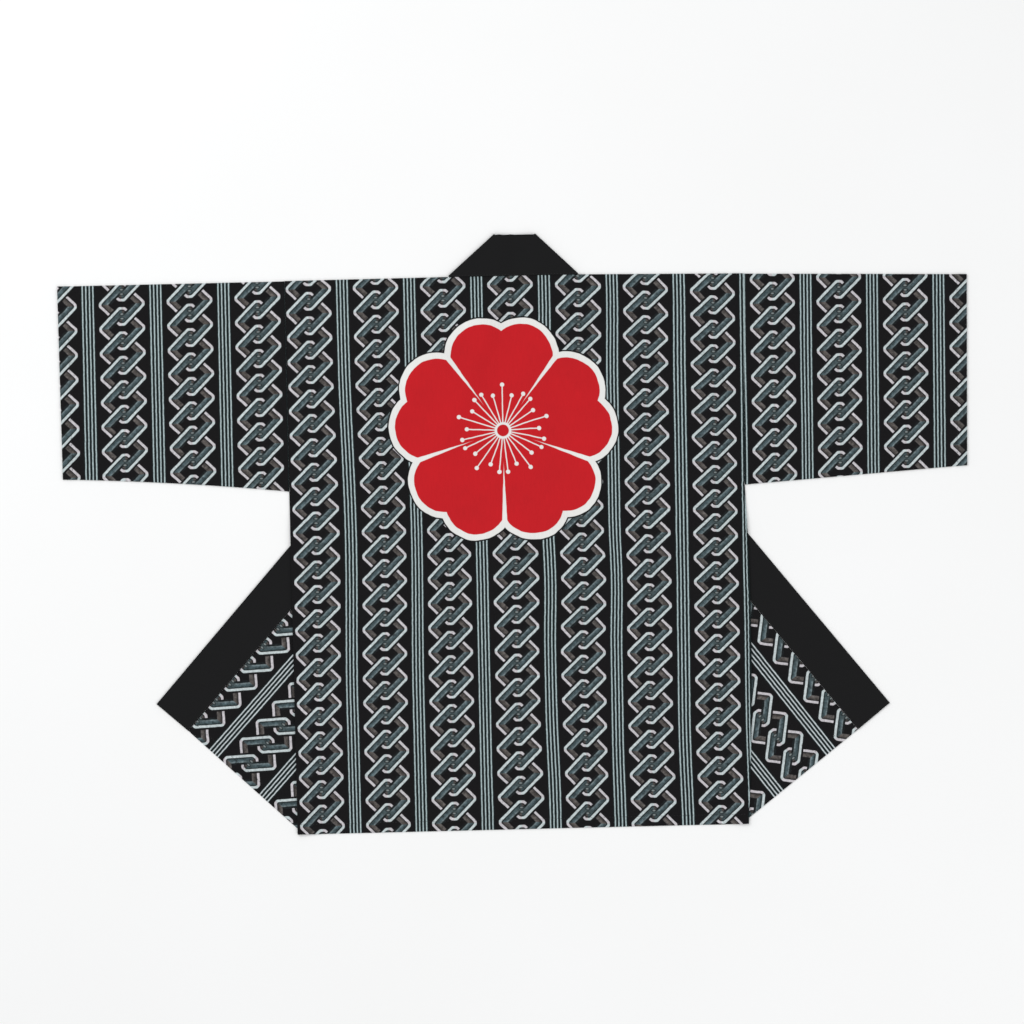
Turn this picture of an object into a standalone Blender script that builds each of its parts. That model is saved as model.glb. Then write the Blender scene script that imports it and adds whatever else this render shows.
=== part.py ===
# Happi coat laid out flat on its fronts, its back up and its sleeves spread.
# Each front is creased from the hem corner to the collar, so that its free
# half lies outer face up under the coat and shows beside the body.
# Metres. +X is the wearer's right, +Y the way to the collar, +Z up.
# The origin is the middle of the outline, on the surface that the coat lies on.

import math

import bmesh
import bpy
from mathutils import Vector
from mathutils.geometry import delaunay_2d_cdt, intersect_point_line

# Walls, and the room between them
CLOTH = 0.001
COLLAR = 0.002
LAYER_GAP = 0.0004
SEAM_GAP = 0.0003

# The collar's width when doubled
COLLAR_WIDTH = 0.060

# The fronts' hems end this far above the back's hem
FRONT_RISE = 0.0065

# Cloth lies this far past an edge below it before it sinks, and then sinks over this length
HOLD = 0.003
FALL = 0.034

# Distances between the points that shape the cloth
PITCH = 0.030
SEAM_STEP = 0.027
SIDE_STEPS = 12
BEND_STEPS = 6

# Corners of the outline as laid out. flap_seam is the folded-back collar seam's length.
LEFT = {
    "shoulder": (-0.3275, 0.3638),
    "neck": (-0.0908, 0.3697),
    "collar_top": (-0.0245, 0.4305),
    "crease_top": (-0.0910, 0.1604),
    "hem": (-0.3084, -0.4333),
    "underarm": (-0.3206, 0.0609),
    "cuff_top": (-0.6554, 0.3563),
    "cuff_bottom": (-0.6470, 0.0782),
    "flap_seam": 0.5817,
    "sleeve_bow": 0.003,
    "side_bow": 0.0,
}
RIGHT = {
    "shoulder": (0.3343, 0.3750),
    "neck": (0.0942, 0.3735),
    "collar_top": (0.0316, 0.4313),
    "crease_top": (0.1031, 0.1902),
    "hem": (0.3408, -0.4177),
    "underarm": (0.3350, 0.0710),
    "cuff_top": (0.6550, 0.3743),
    "cuff_bottom": (0.6557, 0.0991),
    "flap_seam": 0.6157,
    "sleeve_bow": 0.0,
    "side_bow": 0.0068,
}


def clear_scene():
    for scene_object in list(bpy.data.objects):
        bpy.data.objects.remove(scene_object)


def make_collection(name):
    collection = bpy.data.collections.new(name)
    bpy.context.scene.collection.children.link(collection)
    return collection


def make_cloth(name, colour, roughness):
    material = bpy.data.materials.new(name)
    material.use_nodes = True
    shader = material.node_tree.nodes["Principled BSDF"]
    shader.inputs["Base Color"].default_value = (*colour, 1.0)
    shader.inputs["Roughness"].default_value = roughness
    shader.inputs["Metallic"].default_value = 0.0
    return material


# Plane geometry

def cross(a, b):
    return a.x * b.y - a.y * b.x


def across(direction):
    """The direction a quarter turn to the left."""
    return Vector((-direction.y, direction.x))


def mirrored(direction, axis):
    return 2.0 * direction.dot(axis) * axis - direction


def distance_to_edge(point, start, end):
    nearest, share = intersect_point_line(point, start, end)
    nearest = start.lerp(end, min(max(share, 0.0), 1.0))
    return (point - nearest.to_2d()).length


def edges_of(polygon):
    return [(polygon[i - 1], polygon[i]) for i in range(len(polygon))]


def is_inside(point, polygon):
    inside = False
    for start, end in edges_of(polygon):
        if (start.y > point.y) != (end.y > point.y):
            reach = start.x + (point.y - start.y) * (end.x - start.x) / (end.y - start.y)
            if point.x < reach:
                inside = not inside
    return inside


def distance_outside(point, polygon):
    if is_inside(point, polygon):
        return 0.0
    return min(distance_to_edge(point, start, end) for start, end in edges_of(polygon))


def lift_beside(distance):
    """How much of an edge's height is left in the cloth above it: 1 at the edge, 0 far away."""
    share = min(max((distance - HOLD) / FALL, 0.0), 1.0)
    return 1.0 - share * share * (3.0 - 2.0 * share)


class Side:
    """One half of the laid-out coat, with the outlines of its folded layers."""

    def __init__(self, corners):
        for name, value in corners.items():
            setattr(self, name, Vector(value) if isinstance(value, tuple) else value)
        # The left side's middle of the coat lies to the left of a line that runs down it
        self.inward = math.copysign(1.0, -self.hem.x)
        self.crease = (self.hem - self.crease_top).normalized()
        seam = (self.crease_top - self.neck).normalized()
        flap = mirrored(seam, self.crease)
        self.slant = abs(cross(self.crease, seam))
        # From the seam to the collar's free edge, under the back and on the flap
        self.down_out = across(seam) * self.inward
        self.flap_out = mirrored(self.down_out, self.crease)
        # From the crease towards the middle of the coat
        self.crease_out = across(self.crease) * self.inward
        # The collar folds over at the neck, from behind it to under the back
        neck_fold = (self.collar_top - self.neck).normalized()
        self.neck_fold_out = across(neck_fold) * self.inward
        # How far the collar's seam edge is pulled back at its two folds, along each fold
        self.neck_shift = neck_fold * (SEAM_GAP / abs(cross(neck_fold, seam)))
        self.crease_shift = -self.crease * (SEAM_GAP / self.slant)
        self.flap_end = self.crease_top + flap * self.flap_seam
        self.flap_corner = self.flap_end + self.flap_out * COLLAR_WIDTH
        self.crease_tip = self.crease_top - self.crease * (COLLAR_WIDTH / self.slant)
        self.crease_end = self.hem - self.crease * FRONT_RISE
        self.side_seam = self.bowed_side()
        # Outlines of the layers
        self.front_down = [self.shoulder, self.neck, self.crease_top, self.crease_end]
        self.front_down += reversed(self.side_seam[:-1])
        self.flap_cloth = [self.crease_top, self.crease_end, self.flap_end]
        self.flap_collar = [self.crease_top, self.flap_end, self.flap_corner, self.crease_tip]
        self.collar_down = [self.neck, self.crease_top, self.crease_tip, self.collar_top]

    def bowed_side(self):
        """Points down the side seam, the last but one where the front ends."""
        run = self.hem - self.underarm
        outward = -across(run.normalized()) * self.inward
        shares = [i / SIDE_STEPS for i in range(SIDE_STEPS)]
        seam = []
        for share in shares + [1.0 - FRONT_RISE / run.length, 1.0]:
            bow = 4.0 * self.side_bow * share * (1.0 - share)
            seam.append(self.underarm + run * share + outward * bow)
        return seam


def above_flap(point, side):
    """Height of the layer that lies over the folded-back flap, or on the floor beside it."""
    over_cloth = (CLOTH + LAYER_GAP) * lift_beside(distance_outside(point, side.flap_cloth))
    over_collar = (COLLAR + LAYER_GAP) * lift_beside(distance_outside(point, side.flap_collar))
    return max(over_cloth, over_collar)


def above_fronts(point, sides):
    """Height of the back and of the neck band, over both fronts and their collar."""
    heights = [0.0]
    for side in sides:
        below = above_flap(point, side)
        front = lift_beside(distance_outside(point, side.front_down))
        collar = lift_beside(distance_outside(point, side.collar_down))
        heights.append((below + CLOTH + LAYER_GAP) * front)
        heights.append((below + COLLAR + LAYER_GAP) * collar)
    return max(heights)


# The net of points that all layers share, so that they stack without crossing

def stepped(start, end):
    """Points from start to end, no further apart than the seam step."""
    count = max(1, math.ceil((end - start).length / SEAM_STEP))
    return [start.lerp(end, i / count) for i in range(count + 1)]


def feature_lines(sides, outlines):
    lines = []
    for outline in outlines:
        for start, end in edges_of(outline):
            known = any({start[:], end[:]} == {line[0][:], line[1][:]} for line in lines)
            if not known:
                lines.append((start, end))
    for side in sides:
        beside_crease = side.crease_out * HOLD
        lines.append((side.crease_end + beside_crease, side.crease_tip + beside_crease))
    return lines


def shared_net(lines, outlines):
    """Triangles over the whole coat that keep every outline, as points and faces."""
    points = []
    edges = []
    for start, end in lines:
        chain = stepped(start, end)
        first = len(points)
        points.extend(chain)
        edges.extend((first + i, first + i + 1) for i in range(len(chain) - 1))
    row_height = PITCH * math.sqrt(0.75)
    reach_x = max(abs(point.x) for point in points)
    reach_y = max(abs(point.y) for point in points)
    rows = int(2.0 * reach_y / row_height)
    columns = int(2.0 * reach_x / PITCH)
    for row in range(rows + 1):
        for column in range(columns + 1):
            x = -reach_x + (column + 0.5 * (row % 2)) * PITCH
            point = Vector((x, -reach_y + row * row_height))
            if not any(is_inside(point, outline) for outline in outlines):
                continue
            if min(distance_to_edge(point, start, end) for start, end in lines) > 0.3 * PITCH:
                points.append(point)
    net = delaunay_2d_cdt(points, edges, [], 0, 1e-6)
    return net[0], net[2]


# Pieces

class Sheet:
    """The middle surface of one piece of cloth, grown layer by layer."""

    def __init__(self, net):
        self.points, self.faces = net
        self.mesh = bmesh.new()

    def add_layer(self, outline, height):
        """Adds the net's faces inside the outline. Returns its vertices by point number."""
        layer = {}
        for face in self.faces:
            middle = sum((self.points[i] for i in face), Vector((0.0, 0.0))) / len(face)
            if not is_inside(middle, outline):
                continue
            for i in face:
                if i not in layer:
                    point = self.points[i]
                    layer[i] = self.mesh.verts.new((*point, height(point)))
            self.mesh.faces.new([layer[i] for i in face])
        return layer

    def on_line(self, layer, start, end):
        """The layer's point numbers on a line, in order along it."""
        found = [i for i in layer if distance_to_edge(self.points[i], start, end) < 1e-5]
        return sorted(found, key=lambda i: (self.points[i] - start).length)

    def add_bend(self, upper, lower, start, end, outward):
        """Joins two layers round a crease with half a turn."""
        rims = []
        for i in self.on_line(upper, start, end):
            top = upper[i].co
            bottom = lower[i].co
            middle = (top + bottom) / 2.0
            radius = (top.z - bottom.z) / 2.0
            rim = [upper[i]]
            for step in range(1, BEND_STEPS):
                angle = math.pi * step / BEND_STEPS
                aside = outward.to_3d() * radius * math.sin(angle)
                rise = Vector((0.0, 0.0, radius * math.cos(angle)))
                rim.append(self.mesh.verts.new(middle + aside + rise))
            rim.append(lower[i])
            rims.append(rim)
        for rim, following in zip(rims, rims[1:]):
            for step in range(BEND_STEPS):
                corners = (rim[step], rim[step + 1], following[step + 1], following[step])
                self.mesh.faces.new(corners)

    def pull_back(self, layer, start, end, outward, start_shift, end_shift):
        """Moves a seam edge away from its neighbour, with its own shift at each end."""
        line = self.on_line(layer, start, end)
        for i in line[1:-1]:
            layer[i].co += outward.to_3d() * SEAM_GAP
        layer[line[0]].co += start_shift.to_3d()
        layer[line[-1]].co += end_shift.to_3d()

    def finish(self, name, thickness, material, collection):
        bmesh.ops.recalc_face_normals(self.mesh, faces=self.mesh.faces)
        make_wall(self.mesh, name, thickness, material, collection)


def make_wall(sheet, name, thickness, material, collection):
    mesh = bpy.data.meshes.new(name)
    sheet.to_mesh(mesh)
    sheet.free()
    mesh.materials.append(material)
    piece = bpy.data.objects.new(name, mesh)
    collection.objects.link(piece)
    wall = piece.modifiers.new("wall", 'SOLIDIFY')
    wall.thickness = thickness
    wall.offset = 0.0


def make_back(net, sides, outline, material, collection):
    sheet = Sheet(net)
    sheet.add_layer(outline, lambda point: above_fronts(point, sides) + CLOTH / 2.0)
    sheet.finish("back", CLOTH, material, collection)


def make_front(net, side, name, material, collection):
    sheet = Sheet(net)
    under_back = sheet.add_layer(side.front_down, lambda p: above_flap(p, side) + CLOTH / 2.0)
    flap = sheet.add_layer(side.flap_cloth, lambda p: CLOTH / 2.0)
    sheet.add_bend(under_back, flap, side.crease_end, side.crease_top, side.crease_out)
    sheet.finish(name, CLOTH, material, collection)


def make_collar(net, sides, neck_band, material, collection):
    sheet = Sheet(net)
    left, right = sides
    band = sheet.add_layer(neck_band, lambda p: above_fronts(p, sides) + COLLAR / 2.0)
    neck_out = across((right.neck - left.neck).normalized())
    sheet.pull_back(band, left.neck, right.neck, neck_out, left.neck_shift, right.neck_shift)
    for side in sides:
        down = sheet.add_layer(side.collar_down, lambda p: above_flap(p, side) + COLLAR / 2.0)
        flap = sheet.add_layer(side.flap_collar, lambda p: COLLAR / 2.0)
        sheet.pull_back(down, side.neck, side.crease_top, side.down_out,
                        side.neck_shift, side.crease_shift)
        sheet.pull_back(flap, side.crease_top, side.flap_end, side.flap_out,
                        side.crease_shift, side.flap_out * SEAM_GAP)
        sheet.add_bend(band, down, side.neck, side.collar_top, side.neck_fold_out)
        sheet.add_bend(down, flap, side.crease_top, side.crease_tip, side.crease_out)
    sheet.finish("collar", COLLAR, material, collection)


def sleeve_ring(bottom, top, steps):
    """Middle line of a flattened tube at one place along the sleeve, as a closed ring."""
    turn = (CLOTH + LAYER_GAP) / 2.0
    up = (top - bottom).normalized()
    low = bottom + up * (turn + CLOTH / 2.0)
    high = top - up * (turn + CLOTH / 2.0)
    centre = CLOTH / 2.0 + turn
    ring = []
    for i in range(steps):
        ring.append((*low.lerp(high, i / steps), centre - turn))
    for i in range(BEND_STEPS):
        angle = math.pi * i / BEND_STEPS
        ring.append((*(high + up * turn * math.sin(angle)), centre - turn * math.cos(angle)))
    for i in range(steps):
        ring.append((*high.lerp(low, i / steps), centre + turn))
    for i in range(BEND_STEPS):
        angle = math.pi * i / BEND_STEPS
        ring.append((*(low - up * turn * math.sin(angle)), centre + turn * math.cos(angle)))
    return ring


def make_sleeve(side, name, material, collection):
    sheet = bmesh.new()
    outward = Vector((math.copysign(SEAM_GAP, side.shoulder.x), 0.0))
    stations = round((side.cuff_top - side.shoulder).length / PITCH)
    steps = round((side.shoulder - side.underarm).length / PITCH)
    rings = []
    for i in range(stations + 1):
        share = i / stations
        top = (side.shoulder + outward).lerp(side.cuff_top, share)
        bottom = (side.underarm + outward).lerp(side.cuff_bottom, share)
        bottom.y += 4.0 * side.sleeve_bow * share * (1.0 - share)
        rings.append([sheet.verts.new(point) for point in sleeve_ring(bottom, top, steps)])
    for ring, following in zip(rings, rings[1:]):
        for i in range(len(ring)):
            sheet.faces.new((ring[i - 1], ring[i], following[i], following[i - 1]))
    bmesh.ops.recalc_face_normals(sheet, faces=sheet.faces)
    make_wall(sheet, name, CLOTH, material, collection)


def main():
    clear_scene()
    collection = make_collection("happi_coat")
    printed = make_cloth("printed cotton", (0.030, 0.029, 0.030), 0.85)
    plain = make_cloth("plain black cotton", (0.012, 0.012, 0.013), 0.80)

    left = Side(LEFT)
    right = Side(RIGHT)
    sides = (left, right)
    back = [left.shoulder, left.neck, right.neck, right.shoulder]
    back += right.side_seam + left.side_seam[::-1]
    neck_band = [left.neck, right.neck, right.collar_top, left.collar_top]
    outlines = [back, neck_band]
    for side in sides:
        outlines += [side.front_down, side.flap_cloth, side.flap_collar, side.collar_down]
    net = shared_net(feature_lines(sides, outlines), outlines)

    make_back(net, sides, back, printed, collection)
    make_front(net, left, "front_left", printed, collection)
    make_front(net, right, "front_right", printed, collection)
    make_sleeve(left, "sleeve_left", printed, collection)
    make_sleeve(right, "sleeve_right", printed, collection)
    make_collar(net, sides, neck_band, plain, collection)


main()
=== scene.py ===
# The happi coat as it looks: printed cotton, a plain collar band, seams, hems and soft folds.
# Metres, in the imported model's frame. +X is the wearer's right, +Y the way to the collar, +Z up.

from dataclasses import dataclass
import math

import bmesh
import bpy
from mathutils import Matrix, Vector
from mathutils.geometry import delaunay_2d_cdt, intersect_point_line


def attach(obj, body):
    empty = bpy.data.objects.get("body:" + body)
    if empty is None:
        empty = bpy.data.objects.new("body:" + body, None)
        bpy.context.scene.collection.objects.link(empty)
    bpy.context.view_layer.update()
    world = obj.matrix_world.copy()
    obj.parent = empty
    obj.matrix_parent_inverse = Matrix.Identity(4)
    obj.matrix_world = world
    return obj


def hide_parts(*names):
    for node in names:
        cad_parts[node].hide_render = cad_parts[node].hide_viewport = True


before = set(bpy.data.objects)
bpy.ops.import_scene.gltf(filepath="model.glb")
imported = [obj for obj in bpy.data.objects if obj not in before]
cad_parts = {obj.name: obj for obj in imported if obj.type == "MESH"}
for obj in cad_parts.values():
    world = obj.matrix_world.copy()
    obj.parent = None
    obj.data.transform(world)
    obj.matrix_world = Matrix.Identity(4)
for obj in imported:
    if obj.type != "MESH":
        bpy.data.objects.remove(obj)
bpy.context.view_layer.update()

# What the camera sees: the photograph's width on the floor, and where its middle lies
VIEW_WIDTH = 1.4756
VIEW_MIDDLE_Y = 0.0314
CAMERA_HEIGHT = 6.0

# Middle surfaces lie as in the solids, which have these walls and this room between them
CLOTH = 0.001
COLLAR = 0.002
LAYER_GAP = 0.0004
SEAM_GAP = 0.0003
COLLAR_WIDTH = 0.060

# The fronts' hems end this far above the back's hem
FRONT_RISE = 0.0065

# Cloth lies this far past an edge below it before it sinks, and then sinks over this length
HOLD = 0.003
FALL = 0.034

# Single cloth is thinner than the solids' wall. A turned hem fills it.
SINGLE_SHARE = 0.55
BAND_WALL = 0.0018
BAND_ROUNDING = 0.0006
HEM = 0.016
HEM_STEP = 0.0016

# Turned edges, and the fronts' edges below them, lie this far inside the outline
TURN_INSET = 0.0010

# Distances between the points that shape the cloth
PITCH = 0.006
PITCH_TO_LINE = 0.3 * PITCH
SEAM_STEP = 0.006
SIDE_STEPS = 12
BEND_STEPS = 6

# The armhole seam sinks this deep, over this width
SEAM_DIP = 0.00035
SEAM_DIP_WIDTH = 0.007

# Sewing thread, and how far its rows lie from an edge
THREAD = 0.0005
STITCH = 0.0030
STITCH_PITCH = 0.0044
HEM_ROW = 0.0142
COLLAR_ROW = 0.0020

# How far a row stays from the ends of its edge, from a crease and from the collar's fold
ROW_INSET = 0.003
CREASE_INSET = 0.030
FOLD_INSET = 0.010

# The middle of a stitch stands this far out of the cloth
STITCH_RISE = THREAD * 0.1

# Corners of the outline as laid out, as in the solids
LEFT = {
    "shoulder": (-0.3275, 0.3638),
    "neck": (-0.0908, 0.3697),
    "collar_top": (-0.0245, 0.4305),
    "crease_top": (-0.0910, 0.1604),
    "hem": (-0.3084, -0.4333),
    "underarm": (-0.3206, 0.0609),
    "cuff_top": (-0.6554, 0.3563),
    "cuff_bottom": (-0.6470, 0.0782),
    "flap_seam": 0.5817,
    "sleeve_bow": 0.003,
    "side_bow": 0.0,
}
RIGHT = {
    "shoulder": (0.3343, 0.3750),
    "neck": (0.0942, 0.3735),
    "collar_top": (0.0316, 0.4313),
    "crease_top": (0.1031, 0.1902),
    "hem": (0.3408, -0.4177),
    "underarm": (0.3350, 0.0710),
    "cuff_top": (0.6550, 0.3743),
    "cuff_bottom": (0.6557, 0.0991),
    "flap_seam": 0.6157,
    "sleeve_bow": 0.0,
    "side_bow": 0.0068,
}

# The print: chains and groups of four stripes take turns across the cloth
REPEAT = 0.0960
LINK = 0.0352

# Soft folds that storing and laying out left: start, end, bow sideways, half width, height
FOLDS = [
    ((-0.318, 0.062), (-0.205, 0.165), 0.008, 0.024, 0.0022),
    ((-0.316, 0.030), (-0.240, -0.085), -0.006, 0.018, 0.0015),
    ((0.333, 0.075), (0.215, 0.190), -0.009, 0.026, 0.0020),
    ((0.336, 0.035), (0.272, -0.115), 0.005, 0.017, 0.0013),
    ((-0.062, -0.120), (-0.030, -0.405), 0.010, 0.031, 0.0011),
    ((0.108, -0.175), (0.155, -0.415), -0.007, 0.025, 0.0015),
    ((-0.188, -0.210), (-0.214, -0.428), 0.005, 0.021, 0.0013),
    ((0.252, -0.040), (0.268, -0.310), 0.008, 0.034, 0.0009),
    ((-0.083, 0.362), (-0.136, 0.245), 0.006, 0.020, 0.0014),
    ((0.088, 0.366), (0.152, 0.268), -0.005, 0.018, 0.0012),
    ((-0.262, 0.292), (-0.052, 0.262), -0.012, 0.036, 0.0007),
    ((-0.150, 0.070), (0.060, 0.020), 0.014, 0.040, 0.0007),
    ((0.040, 0.215), (0.205, 0.245), 0.010, 0.028, 0.0006),
    ((-0.345, 0.102), (-0.478, 0.205), 0.008, 0.021, 0.0018),
    ((-0.632, 0.335), (-0.500, 0.280), 0.006, 0.018, 0.0011),
    ((-0.642, 0.118), (-0.528, 0.148), -0.005, 0.015, 0.0013),
    ((-0.395, 0.340), (-0.430, 0.235), 0.006, 0.024, 0.0008),
    ((0.358, 0.112), (0.468, 0.226), -0.008, 0.022, 0.0016),
    ((0.640, 0.142), (0.520, 0.192), -0.006, 0.016, 0.0012),
    ((0.645, 0.338), (0.545, 0.300), 0.005, 0.021, 0.0009),
    ((0.410, 0.352), (0.425, 0.262), -0.005, 0.026, 0.0008),
    ((-0.392, -0.335), (-0.338, -0.235), 0.004, 0.015, 0.0012),
    ((-0.455, -0.225), (-0.345, -0.120), -0.006, 0.022, 0.0008),
    ((0.440, -0.312), (0.372, -0.222), -0.004, 0.014, 0.0011),
    ((0.478, -0.198), (0.382, -0.100), 0.006, 0.020, 0.0008),
]


def colour(code):
    """A colour from a paint chart, such as c81c24, turned from sRGB to linear."""
    linear = []
    for start in (0, 2, 4):
        value = int(code[start:start + 2], 16) / 255.0
        linear.append(value / 12.92 if value <= 0.04045 else ((value + 0.055) / 1.055) ** 2.4)
    return (*linear, 1.0)


# Plane geometry

def cross(a, b):
    return a.x * b.y - a.y * b.x


def across(direction):
    """The direction a quarter turn to the left."""
    return Vector((-direction.y, direction.x))


def mirrored(direction, axis):
    return 2.0 * direction.dot(axis) * axis - direction


def distance_to_edge(point, start, end):
    nearest, share = intersect_point_line(point, start, end)
    nearest = start.lerp(end, min(max(share, 0.0), 1.0))
    return (point - nearest.to_2d()).length


def distance_to_line(point, line):
    return min(distance_to_edge(point, start, end) for start, end in zip(line, line[1:]))


def edges_of(polygon):
    return [(polygon[i - 1], polygon[i]) for i in range(len(polygon))]


def is_inside(point, polygon):
    inside = False
    for start, end in edges_of(polygon):
        if (start.y > point.y) != (end.y > point.y):
            reach = start.x + (point.y - start.y) * (end.x - start.x) / (end.y - start.y)
            if point.x < reach:
                inside = not inside
    return inside


def distance_outside(point, polygon):
    if is_inside(point, polygon):
        return 0.0
    return min(distance_to_edge(point, start, end) for start, end in edges_of(polygon))


def lift_over(point, outline):
    """How much of a layer's height is left in the cloth above it: 1 over it, 0 far from it."""
    share = min(max((distance_outside(point, outline) - HOLD) / FALL, 0.0), 1.0)
    return 1.0 - share * share * (3.0 - 2.0 * share)


class Side:
    """One half of the laid-out coat, with the outlines of its folded layers."""

    def __init__(self, corners):
        for name, value in corners.items():
            setattr(self, name, Vector(value) if isinstance(value, tuple) else value)
        # The left side's middle of the coat lies to the left of a line that runs down it
        self.inward = math.copysign(1.0, -self.hem.x)
        self.crease = (self.hem - self.crease_top).normalized()
        self.seam = (self.crease_top - self.neck).normalized()
        self.flap = mirrored(self.seam, self.crease)
        self.slant = abs(cross(self.crease, self.seam))
        # From the seam to the collar's free edge, under the back and on the flap
        self.down_out = across(self.seam) * self.inward
        self.flap_out = mirrored(self.down_out, self.crease)
        # From the crease towards the middle of the coat
        self.crease_out = across(self.crease) * self.inward
        # Out of the coat at its side seam and at its shoulder, and into it from the flap's hem
        self.side_out = -across((self.hem - self.underarm).normalized()) * self.inward
        self.shoulder_out = across((self.neck - self.shoulder).normalized()) * self.inward
        # The collar folds over at the neck, from behind it to under the back
        neck_fold = (self.collar_top - self.neck).normalized()
        self.neck_fold_out = across(neck_fold) * self.inward
        # How far the collar's seam edge is pulled back at its two folds, along each fold
        self.neck_shift = neck_fold * (SEAM_GAP / abs(cross(neck_fold, self.seam)))
        self.crease_shift = -self.crease * (SEAM_GAP / self.slant)
        self.flap_end = self.crease_top + self.flap * self.flap_seam
        self.flap_corner = self.flap_end + self.flap_out * COLLAR_WIDTH
        self.crease_tip = self.crease_top - self.crease * (COLLAR_WIDTH / self.slant)
        self.crease_end = self.hem - self.crease * FRONT_RISE
        self.side_seam = self.bowed_side()
        self.hem_in = across((self.flap_end - self.crease_end).normalized()) * -self.inward
        # Outlines of the layers
        self.front_down = [self.shoulder, self.neck, self.crease_top, self.crease_end]
        self.front_down += reversed(self.side_seam[:-1])
        self.flap_cloth = [self.crease_top, self.crease_end, self.flap_end]
        self.flap_collar = [self.crease_top, self.flap_end, self.flap_corner, self.crease_tip]
        self.collar_down = [self.neck, self.crease_top, self.crease_tip, self.collar_top]

    def bowed_side(self):
        """Points down the side seam, the last but one where the front ends."""
        run = self.hem - self.underarm
        shares = [i / SIDE_STEPS for i in range(SIDE_STEPS)]
        seam = []
        for share in shares + [1.0 - FRONT_RISE / run.length, 1.0]:
            bow = 4.0 * self.side_bow * share * (1.0 - share)
            seam.append(self.underarm + run * share + self.side_out * bow)
        return seam

    def unfolded(self, point):
        """Where a point of the front under the back comes to lie if it is turned out."""
        return self.crease_top + mirrored(point - self.crease_top, self.crease)


left = Side(LEFT)
right = Side(RIGHT)
SIDES = (left, right)


# How high each layer lies

def above_flap(point, side):
    """Height of the layer that lies over the folded-back flap, or on the floor beside it."""
    over_cloth = (CLOTH + LAYER_GAP) * lift_over(point, side.flap_cloth)
    over_collar = (COLLAR + LAYER_GAP) * lift_over(point, side.flap_collar)
    return max(over_cloth, over_collar)


def above_fronts(point):
    """Height of the back and of the neck band, over both fronts and their collar."""
    heights = [0.0]
    for side in SIDES:
        below = above_flap(point, side)
        front = lift_over(point, side.front_down)
        collar = lift_over(point, side.collar_down)
        heights.append((below + CLOTH + LAYER_GAP) * front)
        heights.append((below + COLLAR + LAYER_GAP) * collar)
    return max(heights)


def soft_folds(point):
    """How far the soft folds raise every layer that lies at a point."""
    height = 0.0
    for start, end, bow, half_width, crest in FOLDS:
        run = Vector(end) - Vector(start)
        length = run.length
        run = run / length
        away = point - Vector(start)
        share = away.dot(run) / length
        if not 0.0 < share < 1.0:
            continue
        aside = abs(cross(run, away) - 4.0 * bow * share * (1.0 - share))
        # A fold opens wide at its root and runs out thin
        reach = half_width * (1.25 - 0.5 * share)
        if aside < reach:
            swell = math.sin(math.pi * share ** 0.7) ** 1.2
            height += crest * swell * math.cos(0.5 * math.pi * aside / reach) ** 2
    return height


def armhole_dip(point):
    """How far the cloth beside an armhole is drawn down by its seam."""
    distance = min(distance_to_edge(point, side.shoulder, side.underarm) for side in SIDES)
    return SEAM_DIP * max(0.0, 1.0 - distance / SEAM_DIP_WIDTH) ** 2


def back_height(point):
    return above_fronts(point) + CLOTH / 2.0 + soft_folds(point) - armhole_dip(point)


def band_height(point):
    return above_fronts(point) + COLLAR / 2.0 + soft_folds(point)


def flap_height(point):
    return CLOTH / 2.0 + soft_folds(point)


def flap_collar_height(point):
    return COLLAR / 2.0 + soft_folds(point)


# Where the print lies on each piece

@dataclass
class PrintLay:
    """A lay of the print: a gap between two links of its middle chain, its slants and pulls.

    A pull is a place where the cloth lies drawn: its middle, its reach, how far to +X and down.
    """
    gap: tuple
    lean: float
    repeat: float
    narrowing: float
    tilt: float
    link: float
    droop: float = 0.0
    pulls: tuple = ()

    def cut(self, point):
        """The point's place in the print: across the stripes and along them."""
        aside = point.x - self.gap[0]
        down = self.gap[1] - point.y
        down -= self.droop * max(0.0, aside - DROOP_FROM)
        for middle, reach, pull in self.pulls:
            away = math.hypot((point.x - middle[0]) / reach[0], (point.y - middle[1]) / reach[1])
            if away < 1.0:
                fade = math.cos(0.5 * math.pi * away) ** 2
                aside -= pull[0] * fade
                down -= pull[1] * fade
        column = (aside - self.lean * down) / (self.repeat - self.narrowing * down)
        row = (down + self.tilt * aside) / self.link + 0.5
        return (column * REPEAT, row * LINK)


@dataclass
class FlapLay:
    """The lay of the print beside a collar seam, on the turned-out flap."""
    side: Side
    link_at: float
    repeat: float
    link: float
    tilt: float
    chain_at: float
    lean: float

    def cut(self, point):
        away = self.side.crease_top - point
        aside = away.dot(self.side.flap_out)
        down = -away.dot(self.side.flap)
        column = self.side.inward * (aside + self.lean * down - self.chain_at) / self.repeat
        row = (down + self.tilt * aside - self.link_at) / self.link
        return (column * REPEAT, row * LINK)

    def cut_under(self, point):
        return self.cut(self.side.unfolded(point))


# On the wearer's right half of the back, from this far beside the middle chain, rows droop
DROOP_FROM = 0.029
BODY_PULLS = (
    ((-0.205, 0.005), (0.170, 0.260), (0.0042, 0.0)),
    ((0.050, -0.430), (0.110, 0.170), (0.0034, 0.0)),
    ((0.285, 0.000), (0.075, 1.000), (0.0022, 0.0)),
    ((0.260, -0.460), (0.220, 0.200), (0.0043, 0.0)),
    ((0.100, -0.070), (0.170, 0.100), (0.0024, 0.0)),
    ((0.150, 0.340), (0.180, 0.120), (0.0017, 0.0)),
    ((0.335, 0.300), (0.200, 0.500), (0.0, 0.0062)),
    ((0.345, -0.170), (0.060, 0.190), (0.0018, 0.0)),
    ((0.345, -0.400), (0.062, 0.230), (0.0036, 0.0)),
    ((0.085, -0.330), (0.060, 0.140), (0.0014, 0.0)),
)
RIGHT_SLEEVE_PULLS = (((0.360, 0.100), (0.120, 0.220), (0.0020, 0.0)),)
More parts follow.
